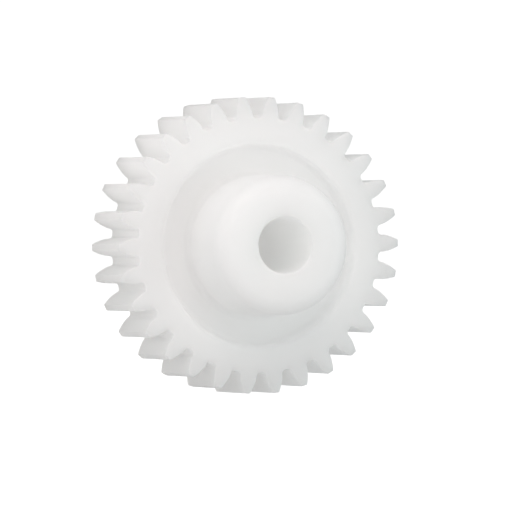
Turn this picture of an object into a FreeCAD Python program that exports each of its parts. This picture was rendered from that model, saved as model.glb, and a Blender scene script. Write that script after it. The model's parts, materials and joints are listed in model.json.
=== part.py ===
import FreeCAD, Part
import math
import os

# A spur gear moulded in one piece from acetal, with a hub standing out of one side. It is modelled as three
# zones that meet face to face: the toothed rim, the recessed web inside it, and the hub round the bore.
#
# Millimetres. The axis is Y, with the hub pointing to -Y and +Z up. The origin is on the axis, half way
# across the teeth. A tooth is centred on +X.

# Tooth system: full-depth involute teeth.
MODULE = 1.0
TEETH = 30
PRESSURE_ANGLE = math.radians(20)
ADDENDUM = 1.0 * MODULE
DEDENDUM = 1.25 * MODULE
BACKLASH = 0.02  # taken off each tooth's thickness at the pitch circle
TIP_ROUNDING = 0.15
ROOT_FILLET = 0.38 * MODULE
FLANK_POINTS = 7  # points of the involute that each flank's curve passes through

# Widths along the axis.
TOOTH_WIDTH = 9.0
HUB_LENGTH = 8.0  # from the rim's front face to the end of the hub
RECESS_DEPTH = 1.5  # the same in front and behind

# Sizes across the axis.
BORE_DIAMETER = 6.0
HUB_DIAMETER = 15.0  # where it meets the web
RECESS_DIAMETER = 21.7  # where the rim's side wall meets the rim's face
WEB_INNER_DIAMETER = 17.0  # the web zone is the flat floor between the fillets of the hub and of the rim
WEB_OUTER_DIAMETER = 20.0

# Moulding details.
DRAFT = math.radians(0.5)  # taper of the hub's side
RECESS_DRAFT = math.radians(5)  # taper of the rim's inner wall
HUB_SHOULDER = 1.6  # rounding of the hub's free end
HUB_BASE_FILLET = 0.8
RECESS_CORNER_FILLET = 0.6
EDGE_ROUNDING = 0.5  # at the hub's back edge and the rim's inner edges
BORE_ROUNDING = 0.2  # at both mouths of the bore

PITCH_RADIUS = MODULE * TEETH / 2
TIP_RADIUS = PITCH_RADIUS + ADDENDUM
ROOT_RADIUS = PITCH_RADIUS - DEDENDUM
BASE_RADIUS = PITCH_RADIUS * math.cos(PRESSURE_ANGLE)
HALF_TOOTH = (math.pi * MODULE / 2 - BACKLASH) / (2 * PITCH_RADIUS)  # angle at the pitch circle
PITCH_ANGLE = 2 * math.pi / TEETH

RIM_FRONT = -TOOTH_WIDTH / 2
RIM_BACK = TOOTH_WIDTH / 2
HUB_FRONT = RIM_FRONT - HUB_LENGTH
WEB_FRONT = RIM_FRONT + RECESS_DEPTH
WEB_BACK = RIM_BACK - RECESS_DEPTH

CENTRE = FreeCAD.Vector(0, 0, 0)
AXIS = FreeCAD.Vector(0, 1, 0)


def involute(angle):
    return math.tan(angle) - angle


def polar(radius, angle):
    """A point in the plane across the axis. Angle 0 is +X, the middle of a tooth, and it grows towards +Z."""
    return FreeCAD.Vector(radius * math.cos(angle), 0, radius * math.sin(angle))


def flank_angle(radius, offset=0.0):
    """Half the angle a tooth fills at this radius, for a flank moved out of the tooth by offset.

    A curve at a constant distance from an involute is another involute of the same base circle.
    """
    roll = math.acos(BASE_RADIUS / radius)
    return HALF_TOOTH + involute(PRESSURE_ANGLE) - involute(roll) + offset / BASE_RADIUS


def flank_radius_beside(centre_radius, offset):
    """The radius at which an arc touches the flank, for a centre at centre_radius and offset out of it."""
    string = math.sqrt(centre_radius**2 - BASE_RADIUS**2) - offset
    return math.sqrt(BASE_RADIUS**2 + string**2)


def arc_about(centre, start, end):
    """The shorter arc about centre from start to end."""
    radius = start.distanceToPoint(centre)
    middle = (start - centre).normalize() + (end - centre).normalize()
    return Part.Arc(start, centre + middle.normalize() * radius, end).toShape()


def flank(low_radius, high_radius):
    """One involute flank, as a curve through points evenly spaced in radius."""
    step = (high_radius - low_radius) / (FLANK_POINTS - 1)
    radii = [low_radius + step * i for i in range(FLANK_POINTS)]
    curve = Part.BSplineCurve()
    curve.interpolate([polar(r, flank_angle(r)) for r in radii])
    return curve.toShape()


def half_tooth():
    """The upper half of a tooth's outline, from the root circle to the middle of its tip."""
    fillet_radius = ROOT_RADIUS + ROOT_FILLET
    fillet_angle = flank_angle(fillet_radius, ROOT_FILLET)
    rounding_radius = TIP_RADIUS - TIP_ROUNDING
    rounding_angle = flank_angle(rounding_radius, -TIP_ROUNDING)
    low = flank_radius_beside(fillet_radius, ROOT_FILLET)
    high = flank_radius_beside(rounding_radius, -TIP_ROUNDING)

    root_end = polar(ROOT_RADIUS, fillet_angle)
    flank_low = polar(low, flank_angle(low))
    flank_high = polar(high, flank_angle(high))
    tip_end = polar(TIP_RADIUS, rounding_angle)
    gap_middle = polar(ROOT_RADIUS, PITCH_ANGLE / 2)
    return [
        arc_about(CENTRE, gap_middle, root_end),
        arc_about(polar(fillet_radius, fillet_angle), root_end, flank_low),
        flank(low, high),
        arc_about(polar(rounding_radius, rounding_angle), flank_high, tip_end),
        arc_about(CENTRE, tip_end, polar(TIP_RADIUS, 0)),
    ]


def toothed_blank():
    """The whole gear outline as a solid of the full tooth width, with no hole in it."""
    upper = half_tooth()
    lower = [edge.mirror(CENTRE, FreeCAD.Vector(0, 0, 1)) for edge in upper]
    edges = []
    for tooth in range(TEETH):
        for edge in upper + lower:
            turned_edge = edge.copy()
            turned_edge.rotate(CENTRE, AXIS, math.degrees(tooth * PITCH_ANGLE))
            edges.append(turned_edge)
    outline = Part.Wire(Part.__sortEdges__(edges))
    blank = Part.Face(outline).extrude(AXIS * TOOTH_WIDTH)
    blank.translate(AXIS * RIM_FRONT)
    return blank


def rounded_outline(corners):
    """A closed wire through corners, each given as (distance from the axis, y, rounding)."""
    points = [FreeCAD.Vector(r, y, 0) for r, y, _ in corners]
    starts, ends, arcs = [], [], []
    for i, (_, _, rounding) in enumerate(corners):
        corner = points[i]
        towards = (points[i - 1] - corner).normalize()
        onwards = (points[(i + 1) % len(points)] - corner).normalize()
        half_turn = (math.pi - towards.getAngle(onwards)) / 2
        setback = rounding * math.tan(half_turn)
        starts.append(corner + towards * setback)
        ends.append(corner + onwards * setback)
        if rounding > 0:
            inwards = (towards + onwards).normalize()
            middle = corner + inwards * (rounding / math.cos(half_turn) - rounding)
            arcs.append(Part.Arc(starts[i], middle, ends[i]).toShape())
    lines = [Part.makeLine(ends[i - 1], starts[i]) for i in range(len(points))]
    return Part.Wire(Part.__sortEdges__(lines + arcs))


def turned(corners):
    """The solid that a rounded outline sweeps round the gear's axis."""
    return Part.Face(rounded_outline(corners)).revolve(CENTRE, AXIS, 360)


def toothed_rim():
    """The teeth and the ring that carries them, with the walls and floor corners of both recesses."""
    edge_radius = RECESS_DIAMETER / 2
    floor_radius = edge_radius - RECESS_DEPTH * math.tan(RECESS_DRAFT)
    web_radius = WEB_OUTER_DIAMETER / 2
    beyond = 1.0  # how far the cutting shape passes the rim's faces
    flare = edge_radius + 2 * EDGE_ROUNDING  # the cutter's lip on the rim's face, which rounds the edge
    hole = turned(
        [
            (0, RIM_FRONT - beyond, 0),
            (flare, RIM_FRONT - beyond, 0),
            (flare, RIM_FRONT, 0),
            (edge_radius, RIM_FRONT, EDGE_ROUNDING),
            (floor_radius, WEB_FRONT, RECESS_CORNER_FILLET),
            (web_radius, WEB_FRONT, 0),
            (web_radius, WEB_BACK, 0),
            (floor_radius, WEB_BACK, RECESS_CORNER_FILLET),
            (edge_radius, RIM_BACK, EDGE_ROUNDING),
            (flare, RIM_BACK, 0),
            (flare, RIM_BACK + beyond, 0),
            (0, RIM_BACK + beyond, 0),
        ]
    )
    return toothed_blank().cut(hole)


def web():
    """The flat floor between hub and rim."""
    inner = WEB_INNER_DIAMETER / 2
    outer = WEB_OUTER_DIAMETER / 2
    return turned([(inner, WEB_FRONT, 0), (outer, WEB_FRONT, 0), (outer, WEB_BACK, 0), (inner, WEB_BACK, 0)])


def hub():
    """The long hub with its bore, its rounded free end and the fillets that blend it into the web."""
    bore = BORE_DIAMETER / 2
    base = HUB_DIAMETER / 2
    free_end = base - (WEB_FRONT - HUB_FRONT) * math.tan(DRAFT)
    back_end = base - (RIM_BACK - WEB_BACK) * math.tan(DRAFT)
    foot = WEB_INNER_DIAMETER / 2
    return turned(
        [
            (bore, HUB_FRONT, BORE_ROUNDING),
            (free_end, HUB_FRONT, HUB_SHOULDER),
            (base, WEB_FRONT, HUB_BASE_FILLET),
            (foot, WEB_FRONT, 0),
            (foot, WEB_BACK, 0),
            (base, WEB_BACK, HUB_BASE_FILLET),
            (back_end, RIM_BACK, EDGE_ROUNDING),
            (bore, RIM_BACK, BORE_ROUNDING),
        ]
    )


os.makedirs("parts", exist_ok=True)
for name, shape in {"toothed_rim": toothed_rim(), "web": web(), "hub": hub()}.items():
    solid = shape.Solids[0]
    if solid.Volume < 0:
        solid.reverse()
    solid.exportStep(f"parts/{name}.step")
    box = solid.optimalBoundingBox()
    print(f"{name}: {len(shape.Solids)} solid, valid {solid.isValid()}, {solid.Volume:.2f} mm3")
    print(f"  low {box.XMin:.3f}, {box.YMin:.3f}, {box.ZMin:.3f}")
    print(f"  high {box.XMax:.3f}, {box.YMax:.3f}, {box.ZMax:.3f}")
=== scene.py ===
import json
import math

import bpy
import numpy as np
from mathutils import Matrix, Vector


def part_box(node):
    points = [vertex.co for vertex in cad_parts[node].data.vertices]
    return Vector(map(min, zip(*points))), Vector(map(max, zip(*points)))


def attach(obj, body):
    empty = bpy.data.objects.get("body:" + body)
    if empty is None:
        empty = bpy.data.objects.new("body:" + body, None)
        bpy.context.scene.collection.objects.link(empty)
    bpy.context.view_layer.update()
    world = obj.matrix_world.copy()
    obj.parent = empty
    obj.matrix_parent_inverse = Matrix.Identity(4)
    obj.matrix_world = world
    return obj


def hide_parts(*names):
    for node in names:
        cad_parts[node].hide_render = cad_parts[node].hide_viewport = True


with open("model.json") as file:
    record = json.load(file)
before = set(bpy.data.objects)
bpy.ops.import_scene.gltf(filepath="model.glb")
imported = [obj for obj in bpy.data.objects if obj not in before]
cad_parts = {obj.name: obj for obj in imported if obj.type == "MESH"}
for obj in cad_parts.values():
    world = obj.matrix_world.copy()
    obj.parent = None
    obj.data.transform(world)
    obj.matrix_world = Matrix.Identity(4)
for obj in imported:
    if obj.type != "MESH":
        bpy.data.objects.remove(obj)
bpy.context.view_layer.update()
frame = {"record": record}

# A spur gear moulded in white acetal. Its axis is Y, the hub points to -Y, and it stands on edge, +Z up.
# Metres. Sizes come from the frame where it has them, and the rest are named here.

MM = 0.001

MOUNTS = {mount["name"]: mount for mount in frame["record"]["mounts"]}
RIM_LOW, RIM_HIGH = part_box("toothed_rim")
WEB_LOW, WEB_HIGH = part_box("web")
HUB_LOW, HUB_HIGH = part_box("hub")

# Teeth
TEETH = MOUNTS["tooth_mesh"]["dims"]["count"]
PITCH_RADIUS = MOUNTS["tooth_mesh"]["dims"]["pcd_mm"] / 2 * MM
TIP_RADIUS = RIM_HIGH[0]
MODULE = 2 * PITCH_RADIUS / TEETH
DEDENDUM = 1.25 * MODULE
ROOT_RADIUS = PITCH_RADIUS - DEDENDUM
PRESSURE_ANGLE = math.radians(20)
BASE_RADIUS = PITCH_RADIUS * math.cos(PRESSURE_ANGLE)
BACKLASH = 0.02 * MM  # taken off each tooth's thickness at the pitch circle
HALF_TOOTH = (math.pi * MODULE / 2 - BACKLASH) / (2 * PITCH_RADIUS)  # angle at the pitch circle
PITCH_ANGLE = 2 * math.pi / TEETH
TIP_ROUNDING = 0.15 * MM
ROOT_FILLET = 0.38 * MM

# Widths along the axis
RIM_FRONT, RIM_BACK = RIM_LOW[1], RIM_HIGH[1]
WEB_FRONT, WEB_BACK = WEB_LOW[1], WEB_HIGH[1]
HUB_FRONT, HUB_BACK = HUB_LOW[1], HUB_HIGH[1]

# Sizes across the axis
BORE_RADIUS = MOUNTS["bore"]["dims"]["r_mm"] * MM
HUB_RADIUS = 7.5 * MM  # where it meets the web
RECESS_RADIUS = 10.85 * MM  # where the rim's side wall meets the rim's face

# Moulding details
HUB_DRAFT = math.tan(math.radians(0.5))
RECESS_DRAFT = math.tan(math.radians(5))
HUB_SHOULDER = 1.6 * MM  # rounding of the hub's free end
HUB_BASE_FILLET = 0.8 * MM
RECESS_CORNER_FILLET = 0.6 * MM
EDGE_ROUNDING = 0.5 * MM  # at the hub's back edge and the rim's inner edges
BORE_ROUNDING = 0.2 * MM
TOOTH_EDGE_ROUNDING = 0.12 * MM  # where the teeth meet the flat faces

# Fineness of the mesh
ARC_STEP = math.radians(10)
FEWEST_ARC_STEPS = 3
LONGEST_QUAD = 1.0 * MM
FILLET_STEPS = 5
FLANK_STEPS = 7
TIP_STEPS = 4
TOOTH_EDGE_STEPS = 3
WIDTH_STEPS = 8
FACE_RINGS = 3
FLANK_START = 1 + FILLET_STEPS  # the flank's first point, counted from the middle of the gap before it
RING_PER_TOOTH = 2 * (FLANK_START + 1)  # points for each tooth in every row that is turned about the axis
FOOT_RADIUS = ROOT_RADIUS - 2 * ROOT_FILLET  # the flat faces' last ring before the teeth

# Acetal. A noise's scale is about the number of its blotches in a metre.
IOR = 1.48
GLOSS = 0.33  # the shader's specular level
TRANSLUCENCY = 1.0
SCATTER = 16 * MM  # how far light spreads inside the plastic
CLOUD_SCALE = 180
CLOUD_DARK, DARK_TINT = 0.945, (1.0, 1.005, 1.0)
CLOUD_LIGHT, LIGHT_TINT = 0.965, (1.0, 1.002, 0.998)
ROUGHNESS_SCALE = 900
SMOOTHEST, ROUGHEST = 0.42, 0.54
GRAIN_SCALE = 4000
GRAIN_STRENGTH = 0.25
GRAIN_HEIGHT = 0.01 * MM
NOISE_LOW, NOISE_HIGH = 0.3, 0.7  # most of a noise's values lie between these

# Camera: angles in degrees, and lens and sensor in millimetres
CAMERA_AZIMUTH = -20.05
CAMERA_ELEVATION = 0.45
CAMERA_ROLL = -0.87
CAMERA_DISTANCE = 715 * MM
CAMERA_RIGHT, CAMERA_UP = 1.052 * MM, -1.005 * MM  # off the line that runs straight back from the gear
LENS = 466.6
SENSOR_WIDTH = 36

# Light
DIFFUSE_BOUNCES = 12  # enough for light to find its way about inside a white bore
LAMP_SIZE = 0.4
LAMP_DISTANCE = 0.6
LAMPS = {  # azimuth and elevation in degrees, power in watts, and colour
    "key": (-15, 40, 1.16, (1.0, 0.88, 0.85)),
    "top": (0, 75, 0.58, (0.96, 0.98, 1.0)),
    "left_fill": (-80, 10, 0.87, (1.0, 1.0, 1.0)),
    "right_fill": (45, 0, 0.94, (0.89, 1.0, 0.99)),
    "low_fill": (10, -35, 0.37, (1.0, 1.0, 1.0)),
    "low_left_fill": (-60, -35, 0.28, (1.0, 0.96, 0.92)),
    "back": (180, 0, 0.67, (1.0, 0.97, 0.9)),
}
SURROUND_LIGHT = 0.39
BACKDROP_WHITE = 1.05

# Floor
FLOOR_WHITE = 0.5
FLOOR_GLOW = 0.85
FLOOR_REACH = 20.0  # from its middle to each side


class Surface:
    """Points and faces of one closed mesh, with the true surface normal at each corner of each face."""

    def __init__(self):
        self.points = []
        self.faces = []
        self.normals = []

    def add_points(self, points):
        """Adds points and returns their numbers."""
        first = len(self.points)
        self.points.extend(tuple(p) for p in points)
        return list(range(first, len(self.points)))

    def add_face(self, corners, normals):
        self.faces.append(corners)
        self.normals.extend(normals)

    def add_flat(self, corners, side):
        """Adds a face square to the axis, facing back where side is 1 and front where it is -1.

        The corners run anticlockwise for someone who looks at the gear's back.
        """
        self.add_face(corners if side > 0 else corners[::-1], [(0, side, 0)] * len(corners))

    def strip(self, row_a, row_b, normals_a, normals_b):
        """Joins two closed rows of points, of the same length, with quads."""
        count = len(row_a)
        for i in range(count):
            j = (i + 1) % count
            self.add_face(
                (row_a[i], row_b[i], row_b[j], row_a[j]),
                (normals_a[i], normals_b[i], normals_b[j], normals_a[j]),
            )

    def build(self, name):
        """Makes the Blender object."""
        mesh = bpy.data.meshes.new(name)
        mesh.from_pydata(self.points, [], self.faces)
        mesh.shade_smooth()
        mesh.normals_split_custom_set([tuple(n) for n in self.normals])
        piece = bpy.data.objects.new(name, mesh)
        bpy.context.scene.collection.objects.link(piece)
        return piece


def unit(vector):
    return vector / np.linalg.norm(vector)


def polar(radius, angle):
    """A point in the plane across the axis. Angle 0 is +X, and it grows towards +Z."""
    return np.array([radius * math.cos(angle), radius * math.sin(angle)])


def at(plane_point, y):
    """The place in space of a point in the plane across the axis."""
    return (plane_point[0], y, plane_point[1])


def turned_by(vector, angle):
    c, s = math.cos(angle), math.sin(angle)
    return np.array([vector[0] * c - vector[1] * s, vector[0] * s + vector[1] * c])


def directions_between(start, end, steps):
    """Unit vectors at even angles from start to end, with both ends."""
    turn = math.acos(np.clip(start @ end, -1, 1))
    shares = [k / steps for k in range(steps + 1)]
    return [(math.sin((1 - s) * turn) * start + math.sin(s * turn) * end) / math.sin(turn) for s in shares]


# The teeth's outline


def involute(angle):
    return math.tan(angle) - angle


def flank_angle(radius, offset=0.0):
    """Half the angle a tooth fills at this radius, for a flank moved out of the tooth by offset."""
    roll = math.acos(BASE_RADIUS / radius)
    return HALF_TOOTH + involute(PRESSURE_ANGLE) - involute(roll) + offset / BASE_RADIUS


def flank_normal(radius):
    angle = flank_angle(radius) - math.acos(BASE_RADIUS / radius)
    return polar(1, angle + math.pi / 2)


def flank_radius_beside(centre_radius, offset):
    """The radius at which an arc touches the flank, for a centre at centre_radius and offset out of it."""
    string = math.sqrt(centre_radius**2 - BASE_RADIUS**2) - offset
    return math.sqrt(BASE_RADIUS**2 + string**2)


def half_tooth():
    """The upper half of a tooth's outline, from the middle of the gap to the middle of the tip.

    Returns a list of (point, outward normal) in the plane across the axis, for the tooth centred on angle 0.
    """
    fillet_radius = ROOT_RADIUS + ROOT_FILLET
    fillet_angle = flank_angle(fillet_radius, ROOT_FILLET)
    fillet_centre = polar(fillet_radius, fillet_angle)
    rounding_radius = TIP_RADIUS - TIP_ROUNDING
    rounding_angle = flank_angle(rounding_radius, -TIP_ROUNDING)
    rounding_centre = polar(rounding_radius, rounding_angle)
    low = flank_radius_beside(fillet_radius, ROOT_FILLET)
    high = flank_radius_beside(rounding_radius, -TIP_ROUNDING)

    gap_middle = polar(1, PITCH_ANGLE / 2)
    outline = [(ROOT_RADIUS * gap_middle, gap_middle)]
    for way in directions_between(-polar(1, fillet_angle), -flank_normal(low), FILLET_STEPS):
        outline.append((fillet_centre + ROOT_FILLET * way, -way))
    for k in range(1, FLANK_STEPS):
        radius = low + (high - low) * k / FLANK_STEPS
        outline.append((polar(radius, flank_angle(radius)), flank_normal(radius)))
    for way in directions_between(flank_normal(high), polar(1, rounding_angle), TIP_STEPS):
        outline.append((rounding_centre + TIP_ROUNDING * way, way))
    outline.append((polar(TIP_RADIUS, 0), polar(1, 0)))
    return outline


def whole_tooth():
    """A tooth's outline from its lower gap to its upper gap, whose middle is left to the next tooth."""
    upper = half_tooth()
    flip = np.array([1, -1])
    lower = [(point * flip, normal * flip) for point, normal in upper]
    return lower + upper[-2:0:-1]


def gear_outline():
    """The outline of all the teeth, as a closed list of (point, outward normal)."""
    tooth = whole_tooth()
    return [
        (turned_by(point, k * PITCH_ANGLE), turned_by(normal, k * PITCH_ANGLE))
        for k in range(TEETH)
        for point, normal in tooth
    ]


def add_outline(surface, outline, inset, y, lean):
    """Adds the outline at y, pulled in by inset. Returns its row of points and their normals.

    lean is the angle by which the normals turn towards the front.
    """
    row = surface.add_points([at(point - inset * normal, y) for point, normal in outline])
    side, along = math.cos(lean), -math.sin(lean)
    return row, [(normal[0] * side, along, normal[1] * side) for _, normal in outline]


def add_teeth(surface, outline):
    """Adds the toothed surface, with its small rounding at both faces. Returns its front and back rows."""
    edges = []
    for face_y, inwards in ((RIM_FRONT, 1), (RIM_BACK, -1)):
        edge = []
        for k in range(TOOTH_EDGE_STEPS + 1):
            lean = math.pi / 2 * (1 - k / TOOTH_EDGE_STEPS)
            inset = TOOTH_EDGE_ROUNDING * (1 - math.cos(lean))
            y = face_y + inwards * TOOTH_EDGE_ROUNDING * (1 - math.sin(lean))
            edge.append(add_outline(surface, outline, inset, y, inwards * lean))
        edges.append(edge)
    front_edge, back_edge = edges
    start = RIM_FRONT + TOOTH_EDGE_ROUNDING
    width = RIM_BACK - RIM_FRONT - 2 * TOOTH_EDGE_ROUNDING
    middle = []
    for k in range(1, WIDTH_STEPS):
        middle.append(add_outline(surface, outline, 0, start + width * k / WIDTH_STEPS, 0))
    around = front_edge + middle + back_edge[::-1]
    for (row_a, normals_a), (row_b, normals_b) in zip(around, around[1:]):
        surface.strip(row_a, row_b, normals_a, normals_b)
    return front_edge[0][0], back_edge[0][0]


# Everything turned about the axis: recesses, web, hub and bore


def turned_corners():
    """The profile inside the rim, from the back round to the front, with the solid on its left.

    Each corner is (distance from the axis, y, rounding). The first and last only say which way the rim's flat
    faces run.
    """
    floor_radius = RECESS_RADIUS - (WEB_FRONT - RIM_FRONT) * RECESS_DRAFT
    free_end = HUB_RADIUS - (WEB_FRONT - HUB_FRONT) * HUB_DRAFT
    back_end = HUB_RADIUS - (HUB_BACK - WEB_BACK) * HUB_DRAFT
    return [
        (PITCH_RADIUS, RIM_BACK, 0),
        (RECESS_RADIUS, RIM_BACK, EDGE_ROUNDING),
        (floor_radius, WEB_BACK, RECESS_CORNER_FILLET),
        (HUB_RADIUS, WEB_BACK, HUB_BASE_FILLET),
        (back_end, HUB_BACK, EDGE_ROUNDING),
        (BORE_RADIUS, HUB_BACK, BORE_ROUNDING),
        (BORE_RADIUS, HUB_FRONT, BORE_ROUNDING),
        (free_end, HUB_FRONT, HUB_SHOULDER),
        (HUB_RADIUS, WEB_FRONT, HUB_BASE_FILLET),
        (floor_radius, WEB_FRONT, RECESS_CORNER_FILLET),
        (RECESS_RADIUS, RIM_FRONT, EDGE_ROUNDING),
        (PITCH_RADIUS, RIM_FRONT, 0),
    ]


def rounded_profile(corners):
    """A closed profile through corners like those of turned_corners.

    Returns a list of (place, normal before it, normal after it). The normals differ only at a sharp corner.
    """
    places = [np.array(corner[:2]) for corner in corners]
    count = len(corners)
    arcs = []
    for i, (_, _, rounding) in enumerate(corners):
        onwards = unit(places[(i + 1) % count] - places[i])
        backwards = unit(places[i - 1] - places[i])
        out_before = np.array([-backwards[1], backwards[0]])
        out_after = np.array([onwards[1], -onwards[0]])
        if rounding == 0:
            arcs.append([(places[i], out_before, out_after)])
            continue
        turn = math.pi - math.acos(np.clip(onwards @ backwards, -1, 1))
        inwards = unit(onwards + backwards)
        centre = places[i] + inwards * rounding / math.cos(turn / 2)
        reach = rounding if out_before @ inwards < 0 else -rounding  # negative in a hollow corner
        steps = max(FEWEST_ARC_STEPS, math.ceil(turn / ARC_STEP))
        normals = directions_between(out_before, out_after, steps)
        arcs.append([(centre + reach * normal, normal, normal) for normal in normals])
    profile = []
    for i, arc in enumerate(arcs):
        profile.extend(arc)
        place, _, normal = arc[-1]
        span = arcs[(i + 1) % count][0][0] - place
        pieces = max(1, math.ceil(np.linalg.norm(span) / LONGEST_QUAD))
        profile.extend((place + span * k / pieces, normal, normal) for k in range(1, pieces))
    return profile


def swept(place, angles):
    """The row of points that a profile's place makes at these angles round the axis."""
    return [(place[0] * math.cos(a), place[1], place[0] * math.sin(a)) for a in angles]


def ring_angles(outline, share):
    """A ring's angles, from evenly spaced at share 0 to those of the teeth's outline at share 1."""
    before = [math.atan2(point[1], point[0]) for point, _ in outline[: FLANK_START + 1]]
    own = before + [0.0] + [-angle for angle in before[:0:-1]]
    angles = []
    for i in range(TEETH * RING_PER_TOOTH):
        tooth, place = divmod(i, RING_PER_TOOTH)
        even = PITCH_ANGLE * (i / RING_PER_TOOTH - 0.5)
        angles.append(even + (own[place] + tooth * PITCH_ANGLE - even) * share)
    return angles


def add_turned(surface, profile, angles):
    """Sweeps an open profile round the axis. Returns its first and last rows of points."""
    rows = [surface.add_points(swept(place, angles)) for place, _, _ in profile]
    for i in range(len(profile) - 1):
        normals_a = swept(profile[i][2], angles)
        normals_b = swept(profile[i + 1][1], angles)
        surface.strip(rows[i], rows[i + 1], normals_a, normals_b)
    return rows[0], rows[-1]


# The two flat faces


def add_face_rings(surface, outline, ring, ring_radius, y, side):
    """Adds rings of quads from the turned part's last row out to the teeth. Returns the last ring."""
    for k in range(1, FACE_RINGS + 1):
        share = k / FACE_RINGS
        radius = ring_radius + (FOOT_RADIUS - ring_radius) * share
        following = surface.add_points(swept((radius, y), ring_angles(outline, share)))
        for i in range(len(ring)):
            j = (i + 1) % len(ring)
            surface.add_flat((ring[i], ring[j], following[j], following[i]), side)
        ring = following
    return ring


def add_tooth_face(surface, ring, row, tooth, y, side):
    """Adds a tooth's flat face: quads from the last ring to its foot, then a ladder of quads to its tip."""
    per_tooth = len(row) // TEETH
    low, tip = FLANK_START, per_tooth // 2
    top = tip - 2  # the last outline point with a partner on the tooth's middle line
    edge = [row[(tooth * per_tooth + i) % len(row)] for i in range(per_tooth + 1)]
    foot = [ring[(tooth * RING_PER_TOOTH + i) % len(ring)] for i in range(RING_PER_TOOTH + 1)]
    heights = [math.hypot(surface.points[n][0], surface.points[n][2]) for n in edge[low : top + 1]]
    middle = surface.add_points([at(polar(height, tooth * PITCH_ANGLE), y) for height in heights])
    quads = []
    for i in range(low):
        quads.append((foot[i], foot[i + 1], edge[i + 1], edge[i]))
        quads.append((foot[-2 - i], foot[-1 - i], edge[-1 - i], edge[-2 - i]))
    quads.append((foot[low], foot[low + 1], middle[0], edge[low]))
    quads.append((foot[low + 1], foot[low + 2], edge[-1 - low], middle[0]))
    for i in range(low, top):
        rung = i - low
        quads.append((edge[i], middle[rung], middle[rung + 1], edge[i + 1]))
        quads.append((middle[rung], edge[-1 - i], edge[-2 - i], middle[rung + 1]))
    quads.append((edge[top], middle[-1], edge[tip], edge[top + 1]))
    quads.append((middle[-1], edge[-1 - top], edge[-2 - top], edge[tip]))
    for quad in quads:
        surface.add_flat(quad, side)


def make_gear():
    """The whole gear as one closed mesh."""
    surface = Surface()
    outline = gear_outline()
    front_row, back_row = add_teeth(surface, outline)

    flat_start = RECESS_RADIUS + EDGE_ROUNDING  # the rounded edges end inside this
    profile = [part for part in rounded_profile(turned_corners()) if part[0][0] < flat_start]
    back_ring, front_ring = add_turned(surface, profile, ring_angles(outline, 0))

    ring_radius = max(place[0] for place, _, _ in profile)
    for ring, row, y, side in ((front_ring, front_row, RIM_FRONT, -1), (back_ring, back_row, RIM_BACK, 1)):
        last_ring = add_face_rings(surface, outline, ring, ring_radius, y, side)
        for tooth in range(TEETH):
            add_tooth_face(surface, last_ring, row, tooth, y, side)
    return surface.build("gear")


def acetal():
    """White acetal as moulded: near white, satin and translucent, with faint clouding and a fine grain."""
    material = bpy.data.materials.new("white_acetal")
    material.use_nodes = True
    nodes, links = material.node_tree.nodes, material.node_tree.links
    shader = nodes["Principled BSDF"]
    shader.inputs["IOR"].default_value = IOR
    shader.inputs["Specular IOR Level"].default_value = GLOSS
    shader.inputs["Subsurface Weight"].default_value = TRANSLUCENCY
    shader.inputs["Subsurface Radius"].default_value = (1.0, 1.0, 1.0)
    shader.inputs["Subsurface Scale"].default_value = SCATTER
    place = nodes.new("ShaderNodeTexCoord")

    def noise(scale, detail):
        texture = nodes.new("ShaderNodeTexNoise")
        texture.inputs["Scale"].default_value = scale
        texture.inputs["Detail"].default_value = detail
        links.new(place.outputs["Object"], texture.inputs["Vector"])
        return texture.outputs["Fac"]

    def spread(value, low, high):
        """Stretches a noise to run from low to high."""
        node = nodes.new("ShaderNodeMapRange")
        node.inputs["From Min"].default_value = NOISE_LOW
        node.inputs["From Max"].default_value = NOISE_HIGH
        node.inputs["To Min"].default_value = low
        node.inputs["To Max"].default_value = high
        links.new(value, node.inputs["Value"])
        return node.outputs["Result"]

    colour = nodes.new("ShaderNodeMix")
    colour.data_type = "RGBA"
    colour.inputs["A"].default_value = (*[CLOUD_DARK * tint for tint in DARK_TINT], 1)
    colour.inputs["B"].default_value = (*[CLOUD_LIGHT * tint for tint in LIGHT_TINT], 1)
    links.new(spread(noise(CLOUD_SCALE, detail=3), 0, 1), colour.inputs["Factor"])
    links.new(colour.outputs["Result"], shader.inputs["Base Color"])
    links.new(spread(noise(ROUGHNESS_SCALE, detail=4), SMOOTHEST, ROUGHEST), shader.inputs["Roughness"])
    bump = nodes.new("ShaderNodeBump")
    bump.inputs["Strength"].default_value = GRAIN_STRENGTH
    bump.inputs["Distance"].default_value = GRAIN_HEIGHT
    links.new(noise(GRAIN_SCALE, detail=3), bump.inputs["Height"])
    links.new(bump.outputs["Normal"], shader.inputs["Normal"])
    return material


def away(azimuth, elevation):
    """The direction from the gear to something at this azimuth and elevation. Azimuth 0 faces the hub."""
    azimuth, elevation = math.radians(azimuth), math.radians(elevation)
    level = math.cos(elevation)
    return Vector((math.sin(azimuth) * level, -math.cos(azimuth) * level, math.sin(elevation)))


def make_camera():
    """A long lens, nearly level with the gear and 20 degrees to the hub's left."""
    roll = math.radians(CAMERA_ROLL)
    back = away(CAMERA_AZIMUTH, CAMERA_ELEVATION)
    level_right = Vector((0, 0, 1)).cross(back).normalized()
    level_up = back.cross(level_right)
    right = level_right * math.cos(roll) + level_up * math.sin(roll)
    up = level_up * math.cos(roll) - level_right * math.sin(roll)
    data = bpy.data.cameras.new("camera")
    data.lens = LENS
    data.sensor_width = SENSOR_WIDTH
    camera = bpy.data.objects.new("camera", data)
    place = back * CAMERA_DISTANCE + right * CAMERA_RIGHT + up * CAMERA_UP
    camera.matrix_world = Matrix.Translation(place) @ Matrix((right, up, back)).transposed().to_4x4()
    bpy.context.scene.collection.objects.link(camera)
    bpy.context.scene.camera = camera


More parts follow.
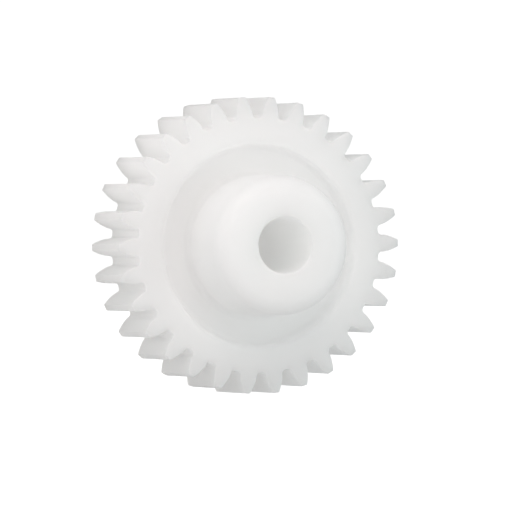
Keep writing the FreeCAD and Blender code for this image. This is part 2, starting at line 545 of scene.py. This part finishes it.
def make_lamps():
    """Soft round lamps, all the same size and at the same distance, facing the gear."""
    for name, (azimuth, elevation, power, colour) in LAMPS.items():
        data = bpy.data.lights.new(name, "AREA")
        data.shape = "DISK"
        data.size = LAMP_SIZE
        data.energy = power
        data.color = colour
        lamp = bpy.data.objects.new(name, data)
        towards = away(azimuth, elevation)
        lamp.location = LAMP_DISTANCE * towards
        lamp.rotation_euler = (-towards).to_track_quat("-Z", "Y").to_euler()
        bpy.context.scene.collection.objects.link(lamp)


def make_surround():
    """White on every side. It shows brighter to the camera than the light that it gives the gear."""
    world = bpy.data.worlds.new("surround")
    bpy.context.scene.world = world
    world.use_nodes = True
    nodes, links = world.node_tree.nodes, world.node_tree.links
    lighting = nodes["Background"]
    lighting.inputs["Color"].default_value = (1, 1, 1, 1)
    lighting.inputs["Strength"].default_value = SURROUND_LIGHT
    showing = nodes.new("ShaderNodeBackground")
    showing.inputs["Color"].default_value = (1, 1, 1, 1)
    showing.inputs["Strength"].default_value = BACKDROP_WHITE
    path = nodes.new("ShaderNodeLightPath")
    choice = nodes.new("ShaderNodeMixShader")
    links.new(path.outputs["Is Camera Ray"], choice.inputs["Fac"])
    links.new(lighting.outputs["Background"], choice.inputs[1])
    links.new(showing.outputs["Background"], choice.inputs[2])
    links.new(choice.outputs["Shader"], nodes["World Output"].inputs["Surface"])


def make_floor():
    """A plain white floor that runs on into the backdrop. It throws no light or shade on the gear."""
    level = RIM_LOW[2]
    corners = [(x, y, level) for x, y in ((-1, -1), (1, -1), (1, 1), (-1, 1))]
    mesh = bpy.data.meshes.new("floor")
    mesh.from_pydata([(x * FLOOR_REACH, y * FLOOR_REACH, z) for x, y, z in corners], [], [(0, 1, 2, 3)])
    floor = bpy.data.objects.new("floor", mesh)
    bpy.context.scene.collection.objects.link(floor)
    floor.visible_diffuse = False
    floor.visible_glossy = False
    floor.visible_shadow = False
    material = bpy.data.materials.new("floor_white")
    material.use_nodes = True
    shader = material.node_tree.nodes["Principled BSDF"]
    shader.inputs["Base Color"].default_value = (FLOOR_WHITE, FLOOR_WHITE, FLOOR_WHITE, 1)
    shader.inputs["Roughness"].default_value = 1.0
    shader.inputs["Specular IOR Level"].default_value = 0.0
    shader.inputs["Emission Color"].default_value = (1, 1, 1, 1)
    shader.inputs["Emission Strength"].default_value = FLOOR_GLOW
    mesh.materials.append(material)


bpy.context.scene.view_settings.view_transform = "Standard"
bpy.context.scene.cycles.diffuse_bounces = DIFFUSE_BOUNCES
make_camera()
make_surround()
make_lamps()
make_floor()

gear = make_gear()
gear.data.materials.append(acetal())
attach(gear, "root")
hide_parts("toothed_rim", "web", "hub")
